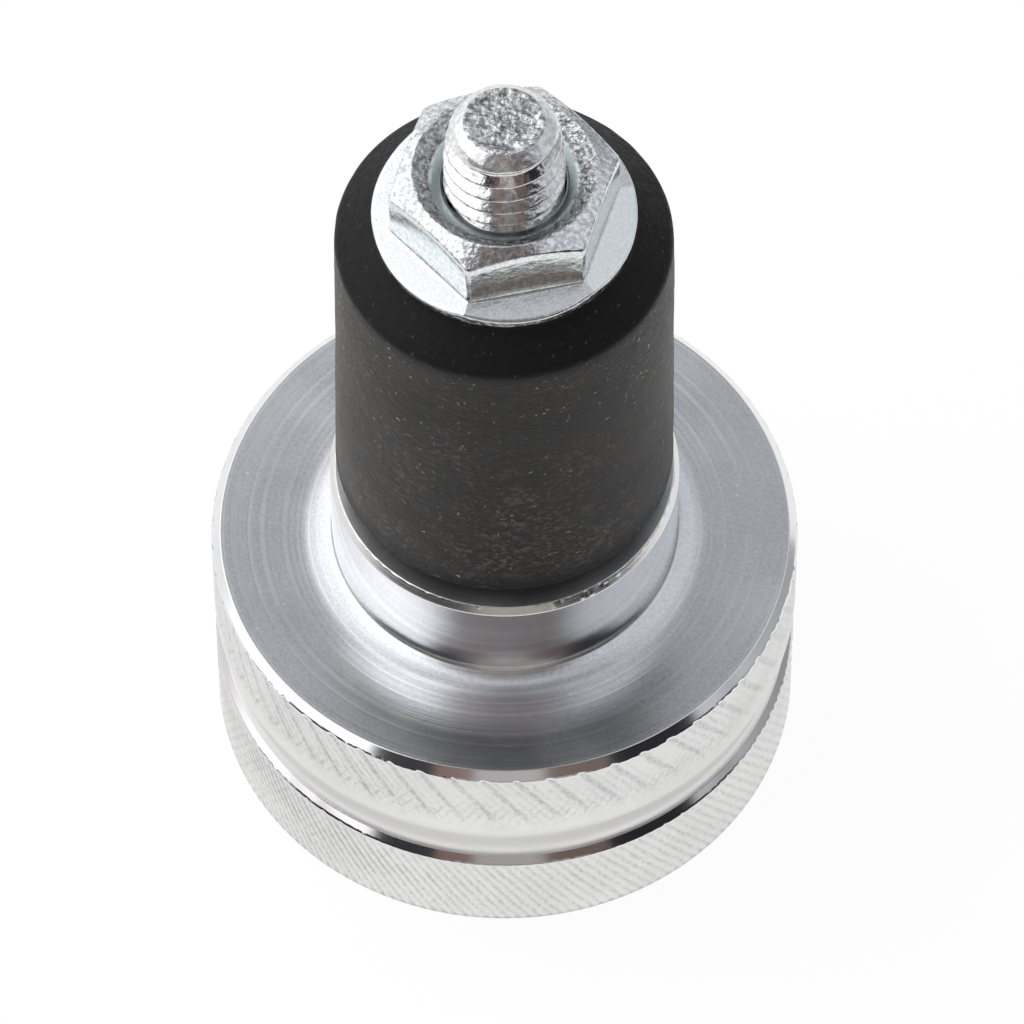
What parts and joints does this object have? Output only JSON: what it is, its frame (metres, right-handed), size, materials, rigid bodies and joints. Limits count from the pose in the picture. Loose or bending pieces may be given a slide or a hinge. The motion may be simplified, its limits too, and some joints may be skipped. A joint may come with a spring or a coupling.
{
  "type": "bar end weight",
  "caption": "Handlebar end weight: knurled aluminium head with a grip groove and turned spigot, rubber expander sleeve, socket head screw and flange nut.",
  "frame": {"origin": "centre of the outer end face, on which the part stands", "axes": "+Z along the screw's axis, from the outer end towards the nut and into the bar"},
  "size_m": [0.0302, 0.0302, 0.0508],
  "materials": {
    "turned_aluminium": "turned and knurled, satin shoulder, bright spigot and edges",
    "black_rubber": "matte black rubber, dusty, with faint mould marks",
    "zinc_steel": "bright zinc plate, rough on stamped faces"
  },
  "bodies": {
    "root": {"weight_body": "turned_aluminium", "expander_rubber": "black_rubber", "clamp_bolt": "zinc_steel", "flange_nut": "zinc_steel"}
  },
  "joints": []
}
